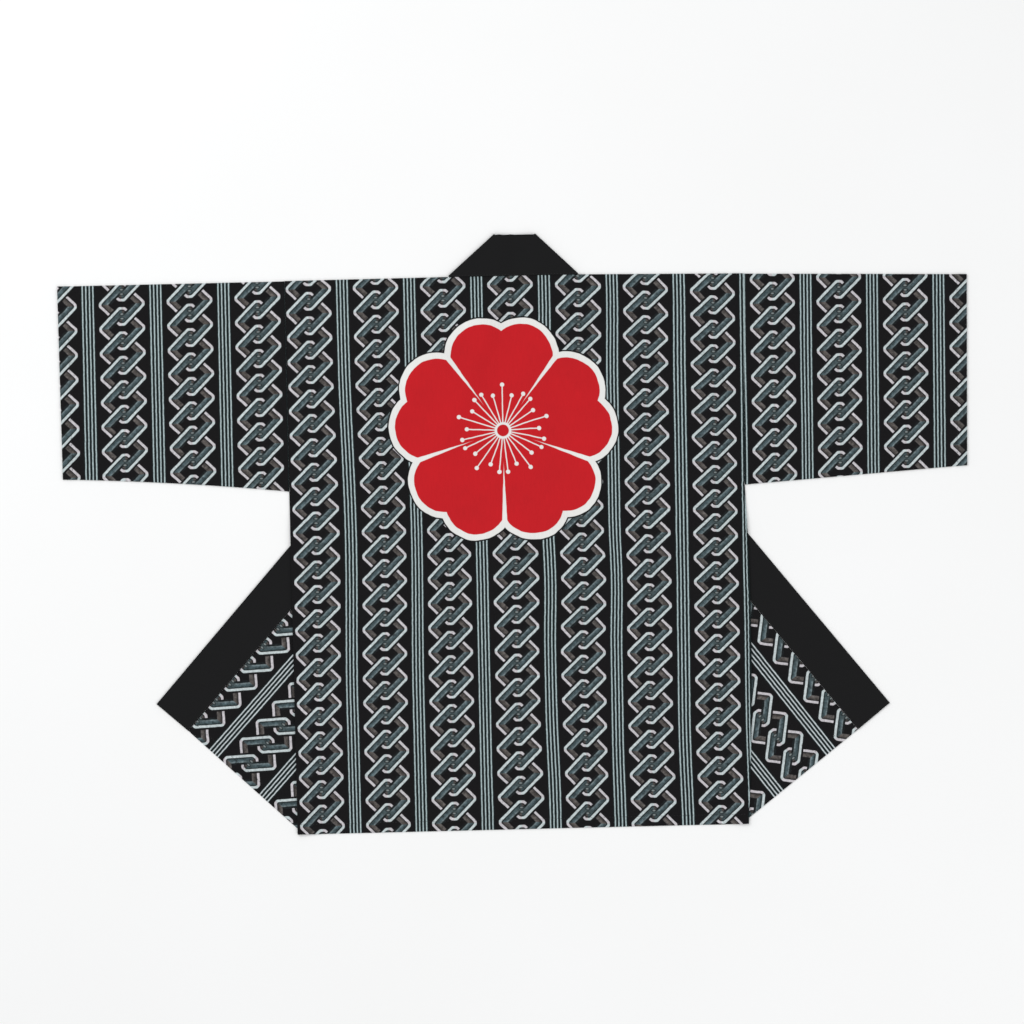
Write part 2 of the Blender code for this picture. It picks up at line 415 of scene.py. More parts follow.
BODY_LAY = PrintLay((-0.0027, 0.3414), 0.0195, 0.0968, 0.0023, 0.0222, 0.0352,
                    0.048, BODY_PULLS)
LEFT_SLEEVE_LAY = PrintLay((-0.4641, 0.3180), 0.0216, 0.0978, 0.0, 0.0497, 0.03525)
RIGHT_SLEEVE_LAY = PrintLay((0.4707, 0.3522), 0.0085, 0.0957, 0.0, 0.0270, 0.0352,
                            0.0, RIGHT_SLEEVE_PULLS)
LEFT_FLAP_LAY = FlapLay(left, 0.4359, 0.0965, 0.0353, -0.0053, 0.0112, 0.0183)
RIGHT_FLAP_LAY = FlapLay(right, 0.5712, 0.0965, 0.0353, 0.0455, -0.0137, -0.0256)


def band_cut(point):
    return (point.y, point.x)


# The net of points that all layers share, so that they stack without crossing

def stepped(start, end, step):
    """Points from start to end, no further apart than the step."""
    count = max(1, math.ceil((end - start).length / step))
    return [start.lerp(end, i / count) for i in range(count + 1)]


def shifted(line, outward, distance):
    start, end = line
    return (start + outward * distance, end + outward * distance)


def shared_net(lines, outlines):
    """Triangles over the whole coat that keep every outline, as points and faces."""
    points = []
    edges = []
    for start, end in lines:
        chain = stepped(start, end, SEAM_STEP)
        first = len(points)
        points.extend(chain)
        edges.extend((first + i, first + i + 1) for i in range(len(chain) - 1))
    row_height = PITCH * math.sqrt(0.75)
    reach_x = max(abs(point.x) for point in points)
    reach_y = max(abs(point.y) for point in points)
    for row in range(int(2.0 * reach_y / row_height) + 1):
        for column in range(int(2.0 * reach_x / PITCH) + 1):
            x = -reach_x + (column + 0.5 * (row % 2)) * PITCH
            point = Vector((x, -reach_y + row * row_height))
            if not any(is_inside(point, outline) for outline in outlines):
                continue
            if min(distance_to_edge(point, *line) for line in lines) > PITCH_TO_LINE:
                points.append(point)
    net = delaunay_2d_cdt(points, edges, [], 0, 1e-6)
    return net[0], net[2]


def hem_lines(start, end, inside):
    """The edge of a turned hem and the step beside it, as two lines across the cloth."""
    return [shifted((start, end), inside, HEM), shifted((start, end), inside, HEM + HEM_STEP)]


def coat_net(back, neck_band, hem_up):
    """The net over all layers, with the steps at the hems and the lines beside the creases."""
    outlines = [back, neck_band]
    for side in SIDES:
        outlines += [side.front_down, side.flap_cloth, side.flap_collar, side.collar_down]
    lines = []
    for outline in outlines:
        for start, end in edges_of(outline):
            if not any({start[:], end[:]} == {line[0][:], line[1][:]} for line in lines):
                lines.append((start, end))
    lines += hem_lines(left.hem, right.hem, hem_up)
    for side in SIDES:
        lines.append(shifted((side.crease_end, side.crease_tip), side.crease_out, HOLD))
        lines += hem_lines(side.crease_end, side.flap_end, side.hem_in)
    return shared_net(lines, outlines)


# Cloth

class Cloth:
    """The middle surface of one piece, grown layer by layer, with its place in the print."""

    def __init__(self, net):
        self.points, self.faces = net
        self.mesh = bmesh.new()
        self.weight = self.mesh.verts.layers.deform.new()
        self.print_map = self.mesh.loops.layers.uv.new("cut")
        self.cut = {}

    def add_point(self, place, cut, doubled=0.0):
        vert = self.mesh.verts.new(place)
        vert[self.weight][0] = doubled
        self.cut[vert] = cut
        return vert

    def add_layer(self, outline, height, cut, hem=None):
        """Adds the net's faces inside the outline. Returns its vertices by point number."""
        layer = {}
        for face in self.faces:
            middle = sum((self.points[i] for i in face), Vector((0.0, 0.0))) / len(face)
            if not is_inside(middle, outline):
                continue
            for i in face:
                if i not in layer:
                    point = self.points[i]
                    doubled = 0.0
                    if hem and distance_to_edge(point, *hem) < HEM + 0.2 * HEM_STEP:
                        doubled = 1.0
                    layer[i] = self.add_point((*point, height(point)), cut(point), doubled)
            self.mesh.faces.new([layer[i] for i in face])
        return layer

    def on_line(self, layer, line):
        """The layer's point numbers on a line of straight runs, in order along it."""
        found = [i for i in layer if distance_to_line(self.points[i], line) < 1e-5]
        return sorted(found, key=lambda i: (self.points[i] - line[0]).length)

    def add_rims(self, rims):
        for rim, following in zip(rims, rims[1:]):
            for step in range(len(rim) - 1):
                corners = (rim[step], rim[step + 1], following[step + 1], following[step])
                self.mesh.faces.new(corners)

    def half_turn(self, vert, low, outward):
        """Points of a half turn from a vertex down to a height, without its last one."""
        radius = (vert.co.z - low) / 2.0
        rim = [vert]
        for step in range(1, BEND_STEPS):
            angle = math.pi * step / BEND_STEPS
            place = vert.co + outward.to_3d() * radius * math.sin(angle)
            place.z = low + radius + radius * math.cos(angle)
            rim.append(self.add_point(place, self.cut[vert], vert[self.weight][0]))
        return rim

    def add_bend(self, upper, lower, line, outward):
        """Joins two layers round a crease with half a turn."""
        rims = []
        for i in self.on_line(upper, line):
            rims.append(self.half_turn(upper[i], lower[i].co.z, outward) + [lower[i]])
        self.add_rims(rims)

    def add_edge_turn(self, layer, line, outward, low):
        """Turns an edge down to the layer below, where a seam joins the two."""
        rims = []
        self.draw_in(layer, line, outward)
        for i in self.on_line(layer, line):
            rim = self.half_turn(layer[i], low(self.points[i]), outward)
            rims.append(rim)
            for vert in rim[1:]:
                vert.co += outward.to_3d() * SEAM_GAP
        self.add_rims(rims)

    def draw_in(self, layer, line, outward):
        """Draws an edge inside the outline, so that its turn doesn't stand out of it."""
        for i in self.on_line(layer, line):
            layer[i].co -= outward.to_3d() * TURN_INSET

    def pull_back(self, layer, line, outward, start_shift, end_shift):
        """Moves a seam edge away from its neighbour, with its own shift at each end."""
        first, *between, last = self.on_line(layer, line)
        for i in between:
            layer[i].co += outward.to_3d() * SEAM_GAP
        layer[first].co += start_shift.to_3d()
        layer[last].co += end_shift.to_3d()

    def finish(self, name, wall, single_share, material, round_edge=0.0):
        """Gives the middle surface its wall and its place in the print, as a finished piece."""
        bmesh.ops.recalc_face_normals(self.mesh, faces=self.mesh.faces)
        for face in self.mesh.faces:
            face.smooth = True
            for loop in face.loops:
                loop[self.print_map].uv = self.cut[loop.vert]
        mesh = bpy.data.meshes.new(name)
        self.mesh.to_mesh(mesh)
        self.mesh.free()
        mesh.materials.append(material)
        piece = put_in_scene(name, mesh)
        piece.vertex_groups.new(name="doubled")
        thickness = piece.modifiers.new("wall", 'SOLIDIFY')
        thickness.thickness = wall
        thickness.offset = 0.0
        if single_share < 1.0:
            thickness.vertex_group = "doubled"
            thickness.thickness_vertex_group = single_share
        if round_edge:
            rounding = piece.modifiers.new("folded edges", 'BEVEL')
            rounding.limit_method = 'ANGLE'
            rounding.angle_limit = math.radians(60.0)
            rounding.width = round_edge
            rounding.segments = 3
        apply_modifiers(piece)
        return piece


def put_in_scene(name, data):
    piece = bpy.data.objects.new(name, data)
    bpy.context.scene.collection.objects.link(piece)
    return piece


def apply_modifiers(piece):
    bpy.ops.object.select_all(action='DESELECT')
    piece.select_set(True)
    bpy.context.view_layer.objects.active = piece
    for modifier in [modifier.name for modifier in piece.modifiers]:
        bpy.ops.object.modifier_apply(modifier=modifier)
    bpy.ops.object.shade_smooth_by_angle(angle=math.radians(50.0))


def make_back(net, outline, material):
    cloth = Cloth(net)
    hem = (left.hem, right.hem)
    layer = cloth.add_layer(outline, back_height, BODY_LAY.cut, hem)
    for side in SIDES:
        low = lambda p: back_height(p) - CLOTH - LAYER_GAP
        cloth.add_edge_turn(layer, side.side_seam, side.side_out, low)
        cloth.add_edge_turn(layer, (side.shoulder, side.neck), side.shoulder_out, low)
    return cloth.finish("back_cloth", CLOTH, SINGLE_SHARE, material)


def make_front(net, side, lay, name, material):
    cloth = Cloth(net)
    height = lambda p: above_flap(p, side) + CLOTH / 2.0 + soft_folds(p)
    under_back = cloth.add_layer(side.front_down, height, lay.cut_under)
    hem = (side.crease_end, side.flap_end)
    flap = cloth.add_layer(side.flap_cloth, flap_height, lay.cut, hem)
    cloth.add_bend(under_back, flap, (side.crease_end, side.crease_top), side.crease_out)
    cloth.draw_in(under_back, side.side_seam[:-1], side.side_out)
    cloth.draw_in(under_back, (side.shoulder, side.neck), side.shoulder_out)
    return cloth.finish(name, CLOTH, SINGLE_SHARE, material)


def make_collar(net, neck_band, material):
    cloth = Cloth(net)
    band = cloth.add_layer(neck_band, band_height, band_cut)
    neck_out = across((right.neck - left.neck).normalized())
    cloth.pull_back(band, (left.neck, right.neck), neck_out,
                    left.neck_shift, right.neck_shift)
    for side in SIDES:
        height = lambda p: above_flap(p, side) + COLLAR / 2.0 + soft_folds(p)
        down = cloth.add_layer(side.collar_down, height, band_cut)
        flap = cloth.add_layer(side.flap_collar, flap_collar_height, band_cut)
        cloth.pull_back(down, (side.neck, side.crease_top), side.down_out,
                        side.neck_shift, side.crease_shift)
        cloth.pull_back(flap, (side.crease_top, side.flap_end), side.flap_out,
                        side.crease_shift, side.flap_out * SEAM_GAP)
        cloth.add_bend(band, down, (side.neck, side.collar_top), side.neck_fold_out)
        cloth.add_bend(down, flap, (side.crease_top, side.crease_tip), side.crease_out)
    return cloth.finish("collar_band", BAND_WALL, 1.0, material, BAND_ROUNDING)


def sleeve_lines(side):
    """Top and bottom edge of a laid-out sleeve, from armhole to cuff, as pairs of points."""
    outward = Vector((math.copysign(SEAM_GAP, side.shoulder.x), 0.0))
    tops = stepped(side.shoulder + outward, side.cuff_top, PITCH)
    pairs = []
    for i, top in enumerate(tops):
        share = i / (len(tops) - 1)
        bottom = (side.underarm + outward).lerp(side.cuff_bottom, share)
        bottom.y += 4.0 * side.sleeve_bow * share * (1.0 - share)
        pairs.append((top, bottom))
    return pairs


def make_sleeve(side, lay, name, material):
    """A tube folded flat at its top, and seamed along its bottom edge."""
    cloth = Cloth(((), ()))
    turn = (CLOTH + LAYER_GAP) / 2.0
    middle = CLOTH / 2.0 + turn
    pairs = sleeve_lines(side)
    steps = round((side.shoulder - side.underarm).length / PITCH)
    rims = []
    for top, bottom in pairs:
        up = (top - bottom).normalized()
        low = bottom + up * (turn + CLOTH / 2.0)
        high = top - up * (turn + CLOTH / 2.0)
        doubled = 1.0 if distance_to_edge(top, side.cuff_top, side.cuff_bottom) < HEM else 0.0
        # Where each point round the tube lies, how high, and where it would lie laid open
        around = []
        # Up the layer that lies on the floor, whose print runs on over the top fold
        for i in range(steps):
            point = low.lerp(high, i / steps)
            around.append((point, middle - turn + soft_folds(point), high + (high - point)))
        for i in range(BEND_STEPS):
            angle = math.pi * i / BEND_STEPS
            point = high + up * turn * math.sin(angle)
            around.append((point, middle - turn * math.cos(angle) + soft_folds(high), point))
        # Down the layer that shows
        for i in range(steps):
            point = high.lerp(low, i / steps)
            z = middle + turn + soft_folds(point) - armhole_dip(point)
            around.append((point, z, point))
        for i in range(BEND_STEPS):
            angle = math.pi * i / BEND_STEPS
            point = low - up * (turn * math.sin(angle) + (SEAM_GAP if i else 0.0))
            around.append((point, middle + turn * math.cos(angle) + soft_folds(low), point))
        rims.append([cloth.add_point((*point, z), lay.cut(laid_open), doubled)
                     for point, z, laid_open in around])
    cloth.add_rims(rims)
    return cloth.finish(name, CLOTH, SINGLE_SHARE, material)


# Sewing

def model_stitch():
    """One stitch: a short thread that dives into the cloth at both ends."""
    bpy.ops.object.select_all(action='DESELECT')
    bpy.ops.mesh.primitive_uv_sphere_add(segments=5, ring_count=4, radius=THREAD / 2.0)
    stitch = bpy.context.object
    bpy.ops.object.mode_set(mode='EDIT')
    bpy.ops.mesh.select_all(action='SELECT')
    bpy.ops.transform.resize(value=(1.0, 1.0, STITCH / THREAD))
    bpy.ops.object.mode_set(mode='OBJECT')
    mesh = stitch.data
    mesh.transform(Matrix.Rotation(math.pi / 2.0, 4, 'Y'))
    bpy.data.objects.remove(stitch)
    return mesh


def sew(name, rows, stitch, material):
    """Rows of stitches along lines on the cloth. Each row has its two ends and a height."""
    seam = bmesh.new()
    for start, end, height in rows:
        run = (end - start).normalized()
        turn = Matrix.Rotation(math.atan2(run.y, run.x), 4, 'Z')
        count = int((end - start).length / STITCH_PITCH)
        for i in range(count):
            point = start.lerp(end, (i + 0.5) / count)
            first = len(seam.verts)
            seam.from_mesh(stitch)
            seam.verts.ensure_lookup_table()
            place = Matrix.Translation((*point, height(point))) @ turn
            bmesh.ops.transform(seam, matrix=place, verts=seam.verts[first:])
    mesh = bpy.data.meshes.new(name)
    for face in seam.faces:
        face.smooth = True
    seam.to_mesh(mesh)
    seam.free()
    mesh.materials.append(material)
    return put_in_scene(name, mesh)


# Materials

def feed(tree, node, inputs):
    """Sets a node's inputs. Each is a value, or the node or socket that feeds it."""
    for socket, value in inputs.items():
        if isinstance(value, bpy.types.Node):
            value = value.outputs[0]
        if isinstance(value, bpy.types.NodeSocket):
            tree.links.new(value, node.inputs[socket])
        else:
            node.inputs[socket].default_value = value


def add(tree, kind, inputs, operation=None, stops=(), **settings):
    """Adds a node with its settings."""
    node = tree.nodes.new("ShaderNode" + kind)
    if operation:
        node.operation = operation
    for setting, value in settings.items():
        setattr(node, setting, value)
    for place, shade in stops:
        if place == stops[0][0]:
            element = node.color_ramp.elements[0]
        elif place == stops[-1][0]:
            element = node.color_ramp.elements[-1]
        else:
            element = node.color_ramp.elements.new(place)
        element.position = place
        element.color = shade
    feed(tree, node, inputs)
    return node


def calc(tree, operation, *values):
    return add(tree, "Math", dict(enumerate(values)), operation)


def mix(tree, share, first, second):
    return add(tree, "MixRGB", {0: share, 1: first, 2: second})


def noise(tree, where, scale, detail, roughness=0.5):
    inputs = {"Vector": where, "Scale": scale, "Detail": detail, "Roughness": roughness}
    return add(tree, "TexNoise", inputs)


def edge(tree, value, place, before=0.0, past=1.0):
    """What changes where a value passes a place, over as far as the dye bleeds."""
    ends = {1: place - BLEED, 2: place + BLEED, 3: before, 4: past}
    return add(tree, "MapRange", {0: value, **ends})


def new_material(name):
    material = bpy.data.materials.new(name)
    material.use_nodes = True
    return material, material.node_tree, material.node_tree.nodes["Principled BSDF"]


# A link from its outer edge inwards, in metres: where each band ends, and its colour on the
# strand that lies on top and on the one that passes below
LINK_BANDS = [
    (0.0003, "101012", "101012"),
    (0.0038, "c2cccd", "c6c2c6"),
    (0.0053, "161f21", "1a181a"),
    (0.0074, "3b494c", "45413f"),
    (0.0094, "4b5a5f", "56514e"),
    (0.0112, "667376", "5a5654"),
    (0.0143, "161a1c", "181618"),
]
# From where to where a strand is drawn: the one on top starts with a black outline round it
TOP_SHOWN = (-0.0026, LINK_BANDS[-1][0])
UNDER_SHOWN = (0.0, 0.0120)

# A grey patch lies in every crossing of two links, and on it two pale marks, each with a dark
# rim: up to where it is full, where it ends, its strength and its colour
CROSSING = (0.0028, 0.0055, 0.80, "3f4b4d")
RIM = (0.0018, 0.0026, 0.85, "181e20")
MARK = (0.0006, 0.0016, 0.90, "868e8e")
MARK_PLACE = 0.0032
# All three are wider than high: only this share of the way to the side counts
SIDEWAYS_SHARE = 0.55

# Dyes bleed this far to both sides of an edge, and edges waver within this width
BLEED = 0.00035
WAVER = 0.0009

# A link's bands are a colour ramp between these depths. Within its pale line, which ends
# between the second pair, it is dyed unevenly, in spots of 4 to 8 mm
RAMP_START = -0.003
RAMP_END = 0.015
PALE_LINE_END = (0.0040, 0.0054)

# How fine the dye and the cloth vary, in spots, specks and patches in a metre
SPOTS = 175.0
SPECKS = 330.0
WAVERS = 110.0
BRUSH_MARKS = 45.0
FADED_PATCHES = 14.0

# How far out from its middle a link's slants, sides and ends lie, and its rounding
LINK_REACH = 0.0355
LINK_HALF_WIDTH = 0.0326
LINK_HALF_HEIGHT = 0.0313
LINK_ROUNDING = 0.0020

GROUND = "0f0e10"
STRIPE_GROUND = "0e1a1b"
STRIPE = "acbdbf"
FLAP_STRIPE = "c3ccce"
STRIPE_WIDTH = 0.0017
STRIPE_PITCH = 0.0050

# Threads of the plain weave lie 0.5 mm apart in such cotton, which is too fine to show, so
# they are drawn this far apart. Thick spots in a thread are long and narrow.
THREAD_PITCH = 0.0013
SLUBS = (520.0, 60.0, 1.0)


def band_stops(strand):
    """Ramp stops for the bands of a link, with a little bleed of the dye between them."""
    stops = []
    start = RAMP_START
    for end, *codes in LINK_BANDS:
        last = end if end < LINK_BANDS[-1][0] else RAMP_END
        for place in (start + BLEED, last - BLEED):
            share = (place - RAMP_START) / (RAMP_END - RAMP_START)
            stops.append((share, colour(codes[strand])))
        start = end
    return stops


def draw_print(tree, cut, stripe_code):
    """Chains of links and groups of four stripes, as dyed. Gives the colour."""
    place = add(tree, "SeparateXYZ", {0: cut})
    column = calc(tree, 'WRAP', place.outputs[0], REPEAT / 2.0, -REPEAT / 2.0)
    aside = calc(tree, 'ABSOLUTE', column)
    below_upper = calc(tree, 'WRAP', place.outputs[1], LINK, 0.0)
    above_lower = calc(tree, 'SUBTRACT', LINK, below_upper)
    # The upper link lies on top on the right, and the lower one on the left
    on_right = calc(tree, 'GREATER_THAN', column, 0.0)
    change = calc(tree, 'SUBTRACT', below_upper, above_lower)
    to_top = calc(tree, 'MULTIPLY_ADD', on_right, change, above_lower)
    to_under = calc(tree, 'SUBTRACT', LINK, to_top)
    spots = noise(tree, cut, SPOTS, 3.0, 0.65)
    spots = calc(tree, 'MULTIPLY_ADD', spots, 3.0, -1.5)
    drawn = colour(GROUND)
    for strand, along, (start, end) in ((1, to_under, UNDER_SHOWN), (0, to_top, TOP_SHOWN)):
        reach = calc(tree, 'SUBTRACT', LINK_REACH, aside)
        reach = calc(tree, 'SUBTRACT', reach, along)
        reach = calc(tree, 'MULTIPLY', reach, math.sqrt(0.5))
        width = calc(tree, 'SUBTRACT', LINK_HALF_WIDTH, aside)
        height = calc(tree, 'SUBTRACT', LINK_HALF_HEIGHT, along)
        depth = calc(tree, 'SMOOTH_MIN', reach, width, LINK_ROUNDING)
        depth = calc(tree, 'SMOOTH_MIN', depth, height, LINK_ROUNDING)
        share = add(tree, "MapRange", {0: depth, 1: RAMP_START, 2: RAMP_END})
        bands = add(tree, "ValToRGB", {0: share}, stops=band_stops(strand))
        within = add(tree, "MapRange", {0: depth, 1: PALE_LINE_END[0], 2: PALE_LINE_END[1]})
        change = calc(tree, 'MULTIPLY_ADD', spots, within, 1.0)
        surface_colour = add(tree, "VectorMath", {0: bands, "Scale": change}, 'SCALE')
        starts = edge(tree, depth, start)
        ends = edge(tree, depth, end, 1.0, 0.0)
        shown = calc(tree, 'MULTIPLY', starts, ends)
        drawn = mix(tree, shown, drawn, surface_colour)
    off_row = calc(tree, 'SUBTRACT', below_upper, LINK / 2.0)
    off_mark = calc(tree, 'ABSOLUTE', off_row)
    off_mark = calc(tree, 'SUBTRACT', off_mark, MARK_PLACE)
    narrow = calc(tree, 'MULTIPLY', aside, SIDEWAYS_SHARE)
    for off, patch in ((off_row, CROSSING), (off_mark, RIM), (off_mark, MARK)):
        whole, gone, strength, code = patch
        spot = add(tree, "CombineXYZ", {0: narrow, 1: off})
        away = add(tree, "VectorMath", {0: spot}, 'LENGTH').outputs["Value"]
        share = add(tree, "MapRange", {0: away, 1: whole, 2: gone, 3: strength, 4: 0.0})
        drawn = mix(tree, share, drawn, colour(code))
    # Four stripes stand half way between two chains
    from_middle = calc(tree, 'SUBTRACT', REPEAT / 2.0, aside)
    off_stripe = calc(tree, 'WRAP', from_middle, STRIPE_PITCH, 0.0)
    off_stripe = calc(tree, 'SUBTRACT', off_stripe, STRIPE_PITCH / 2.0)
    off_stripe = calc(tree, 'ABSOLUTE', off_stripe)
    half = STRIPE_WIDTH / 2.0
    in_stripe = edge(tree, off_stripe, half, 1.0, 0.0)
    in_group = calc(tree, 'LESS_THAN', from_middle, 2.0 * STRIPE_PITCH)
    stripe = calc(tree, 'MULTIPLY', in_stripe, in_group)
    drawn = mix(tree, in_group, drawn, colour(STRIPE_GROUND))
    drawn = mix(tree, stripe, drawn, colour(stripe_code))
    # The dye took unevenly, in specks of 2 to 4 mm
    specks = noise(tree, cut, SPECKS, 2.0)
    uneven = calc(tree, 'MULTIPLY_ADD', specks, 1.0, 0.5)
    return add(tree, "VectorMath", {0: drawn, "Scale": uneven}, 'SCALE')


# A five-petalled blossom on the back, in metres from its middle
BLOSSOM = (-0.013, 0.149)
HALF_PETAL = math.radians(36.0)
PETAL_CENTRE = (0.0280, 0.1080, 0.0)
PETAL_RADIUS = 0.0540
HEART_RADIUS = 0.0950
PETAL_ROUNDING = 0.012
PETAL_BORDER = 0.0088
BLACK_LINE = 0.0020
BRUSH_WANDER = 0.0030
# White wedges part the petals: where they start, and how fast they widen
WEDGE_START = 0.050
WEDGE_SLOPE = 0.045
# Each stamen's turn from the middle of its petal, in degrees, and where it ends
STAMENS = ((0.0, 0.066), (15.0, 0.052), (30.0, 0.060))
STAMEN_HALF_WIDTH = 0.0008
STAMEN_TIP = 0.0030
RING_RADIUS = 0.0120
PIP_RADIUS = 0.0085
RED = "c41a22"
WHITE = "e9e9e6"
LINE_BLACK = "0e0e10"


def draw_blossom(tree, cut, printed):
    """A red blossom with a broad white border and a thin black line round it."""
    place = add(tree, "SeparateXYZ", {0: cut})
    middle_u, middle_v = BODY_LAY.cut(Vector(BLOSSOM))
    x = calc(tree, 'SUBTRACT', place.outputs[0], middle_u)
    y = calc(tree, 'SUBTRACT', middle_v, place.outputs[1])
    spot = add(tree, "CombineXYZ", {0: x, 1: y})
    radius = add(tree, "VectorMath", {0: spot}, 'LENGTH').outputs["Value"]
    # All ten halves of petals are one, laid over each other by their angle
    angle = calc(tree, 'ARCTAN2', x, y)
    angle = calc(tree, 'WRAP', angle, HALF_PETAL, -HALF_PETAL)
    angle = calc(tree, 'ABSOLUTE', angle)
    sine = calc(tree, 'SINE', angle)
    cosine = calc(tree, 'COSINE', angle)
    px = calc(tree, 'MULTIPLY', radius, sine)
    py = calc(tree, 'MULTIPLY', radius, cosine)
    spot = add(tree, "CombineXYZ", {0: px, 1: py})
    off_centre = add(tree, "VectorMath", {0: spot, 1: PETAL_CENTRE}, 'DISTANCE').outputs["Value"]
    petal = calc(tree, 'SUBTRACT', PETAL_RADIUS, off_centre)
    heart = calc(tree, 'SUBTRACT', HEART_RADIUS, radius)
    depth = calc(tree, 'SMOOTH_MAX', petal, heart, PETAL_ROUNDING)
    # Brushed edges are never quite even
    wander = noise(tree, cut, BRUSH_MARKS, 2.0)
    depth = calc(tree, 'MULTIPLY_ADD', wander, BRUSH_WANDER, depth)
    depth = calc(tree, 'SUBTRACT', depth, BRUSH_WANDER / 2.0)
    bands = [edge(tree, depth, start) for start in (-BLACK_LINE, 0.0, PETAL_BORDER)]
    in_line, in_border, in_petal = bands
    # White lines part the petals and stand for the stamens
    wedge = calc(tree, 'SUBTRACT', radius, WEDGE_START)
    wedge = calc(tree, 'MULTIPLY', wedge, WEDGE_SLOPE)
    to_parting = calc(tree, 'SUBTRACT', HALF_PETAL, angle)
    to_parting = calc(tree, 'SINE', to_parting)
    to_parting = calc(tree, 'MULTIPLY', to_parting, radius)
    marks = [calc(tree, 'SUBTRACT', wedge, to_parting)]
    for degrees, end in STAMENS:
        turn = math.radians(degrees)
        aside = calc(tree, 'SUBTRACT', angle, turn)
        aside = calc(tree, 'SINE', aside)
        aside = calc(tree, 'MULTIPLY', aside, radius)
        aside = calc(tree, 'ABSOLUTE', aside)
        line = calc(tree, 'SUBTRACT', STAMEN_HALF_WIDTH, aside)
        short = calc(tree, 'SUBTRACT', end, radius)
        marks.append(calc(tree, 'MINIMUM', line, short))
        tip = (end * math.sin(turn), end * math.cos(turn), 0.0)
        off_tip = add(tree, "VectorMath", {0: spot, 1: tip}, 'DISTANCE').outputs["Value"]
        marks.append(calc(tree, 'SUBTRACT', STAMEN_TIP, off_tip))
    marks.append(calc(tree, 'SUBTRACT', RING_RADIUS, radius))
    mark = marks[0]
    for other in marks[1:]:
        mark = calc(tree, 'MAXIMUM', mark, other)
    marked = edge(tree, mark, 0.0)
    pip = edge(tree, radius, PIP_RADIUS, 1.0, 0.0)
    drawn = mix(tree, marked, colour(RED), colour(WHITE))
    drawn = mix(tree, pip, drawn, colour(RED))
    drawn = mix(tree, in_petal, colour(WHITE), drawn)
    drawn = mix(tree, in_border, colour(LINE_BLACK), drawn)
    return mix(tree, in_line, printed, drawn)


def weave_height(tree, cut):
    """Height of a plain weave: threads pass over and under each other, with thicker spots."""
    place = add(tree, "SeparateXYZ", {0: cut})
    waves = []
    for socket in (0, 1):
        turn = calc(tree, 'MULTIPLY', place.outputs[socket], math.pi / THREAD_PITCH)
        waves.append(calc(tree, 'SINE', turn))
    weave = calc(tree, 'MULTIPLY', waves[0], waves[1])
    spread = add(tree, "Mapping", {"Vector": cut, "Scale": SLUBS})
    slubs = noise(tree, spread, 1.0, 2.0)
    return calc(tree, 'MULTIPLY_ADD', weave, 0.30, slubs)


def finish_cotton(tree, shader, cut, surface_colour, roughness):
    """Weave, with painted shade in its low spots, slight fading and a soft surface for a dyed
    cotton.
    """
    height = weave_height(tree, cut)
    fading = noise(tree, cut, FADED_PATCHES, 3.0)
    light = calc(tree, 'MULTIPLY_ADD', fading, 0.22, 0.86)
    # Painted shade: the weave's low spots are painted darker and its high threads and thick spots
    # lighter, from the bump's height
    weave_shade = calc(tree, 'MULTIPLY_ADD', height, 0.14, -0.07)
    light = calc(tree, 'ADD', light, weave_shade)
    shade = add(tree, "VectorMath", {0: surface_colour, "Scale": light}, 'SCALE')
    bump = add(tree, "Bump", {"Strength": 0.25, "Distance": 0.0004, "Height": height})
    rough = calc(tree, 'MULTIPLY_ADD', fading, 0.10, roughness - 0.05)
    feed(tree, shader, {"Base Color": shade, "Roughness": rough, "Normal": bump,
                        "Specular IOR Level": 0.18, "Sheen Weight": 0.02,
                        "Sheen Roughness": 0.5})


def printed_cotton(name, stripe_code=STRIPE, with_blossom=False):
    """Plain-weave cotton with a discharge print: matt, with edges that bleed a little."""
    material, tree, shader = new_material(name)
    cut = add(tree, "UVMap", {}, uv_map="cut")
    # Printed lines waver by a few tenths of a millimetre
    waver = noise(tree, cut, WAVERS, 1.0)
    spread = (WAVER, WAVER, 0.0)
    back = (-WAVER / 2.0, -WAVER / 2.0, 0.0)
    waver = add(tree, "VectorMath", {0: waver.outputs["Color"], 1: spread, 2: back},
                'MULTIPLY_ADD')
    cut = add(tree, "VectorMath", {0: cut, 1: waver}, 'ADD')
    surface_colour = draw_print(tree, cut, stripe_code)
    if with_blossom:
        surface_colour = draw_blossom(tree, cut, surface_colour)
    finish_cotton(tree, shader, cut, surface_colour, 0.88)
    return material


def plain_cotton():
    """Plain black cotton, doubled for the collar: matt, even and a little deeper than the print."""
    material, tree, shader = new_material("plain black cotton")
    cut = add(tree, "UVMap", {}, uv_map="cut")
    finish_cotton(tree, shader, cut, colour("131314")[:3], 0.85)
    return material


def sewing_thread():
    """Spun polyester sewing thread, black, with a slight shine on its twist, partly from its
    roughness and partly painted as lighter bands along the twist.
    """
    material, tree, shader = new_material("black sewing thread")
    where = add(tree, "TexCoord", {})
    twist = add(tree, "TexWave",
                {"Vector": where.outputs["Object"], "Scale": 900.0, "Distortion": 1.5},
                bands_direction='DIAGONAL')
    twist = twist.outputs["Fac"]
    # Painted sheen: the twist's raised bands are painted lighter, following the same wave as the
    # bump
    surface_colour = mix(tree, twist, colour("0c0c0d"), colour("1c1c1e"))
    bump = add(tree, "Bump", {"Strength": 0.3, "Distance": 0.0001, "Height": twist})
    feed(tree, shader, {"Base Color": surface_colour, "Normal": bump, "Roughness": 0.55})
    return material


def floor_paint():
    """Matt white paint, rolled: pale and even."""
    material, tree, shader = new_material("matt white paint")
    where = add(tree, "TexCoord", {})
    mottle = noise(tree, where.outputs["Object"], 3.0, 2.0)
    shade = mix(tree, mottle, colour("f7f7f6"), colour("fafafa"))
    feed(tree, shader, {"Base Color": shade, "Roughness": 0.9, "Specular IOR Level": 0.1})
    return material


# Studio

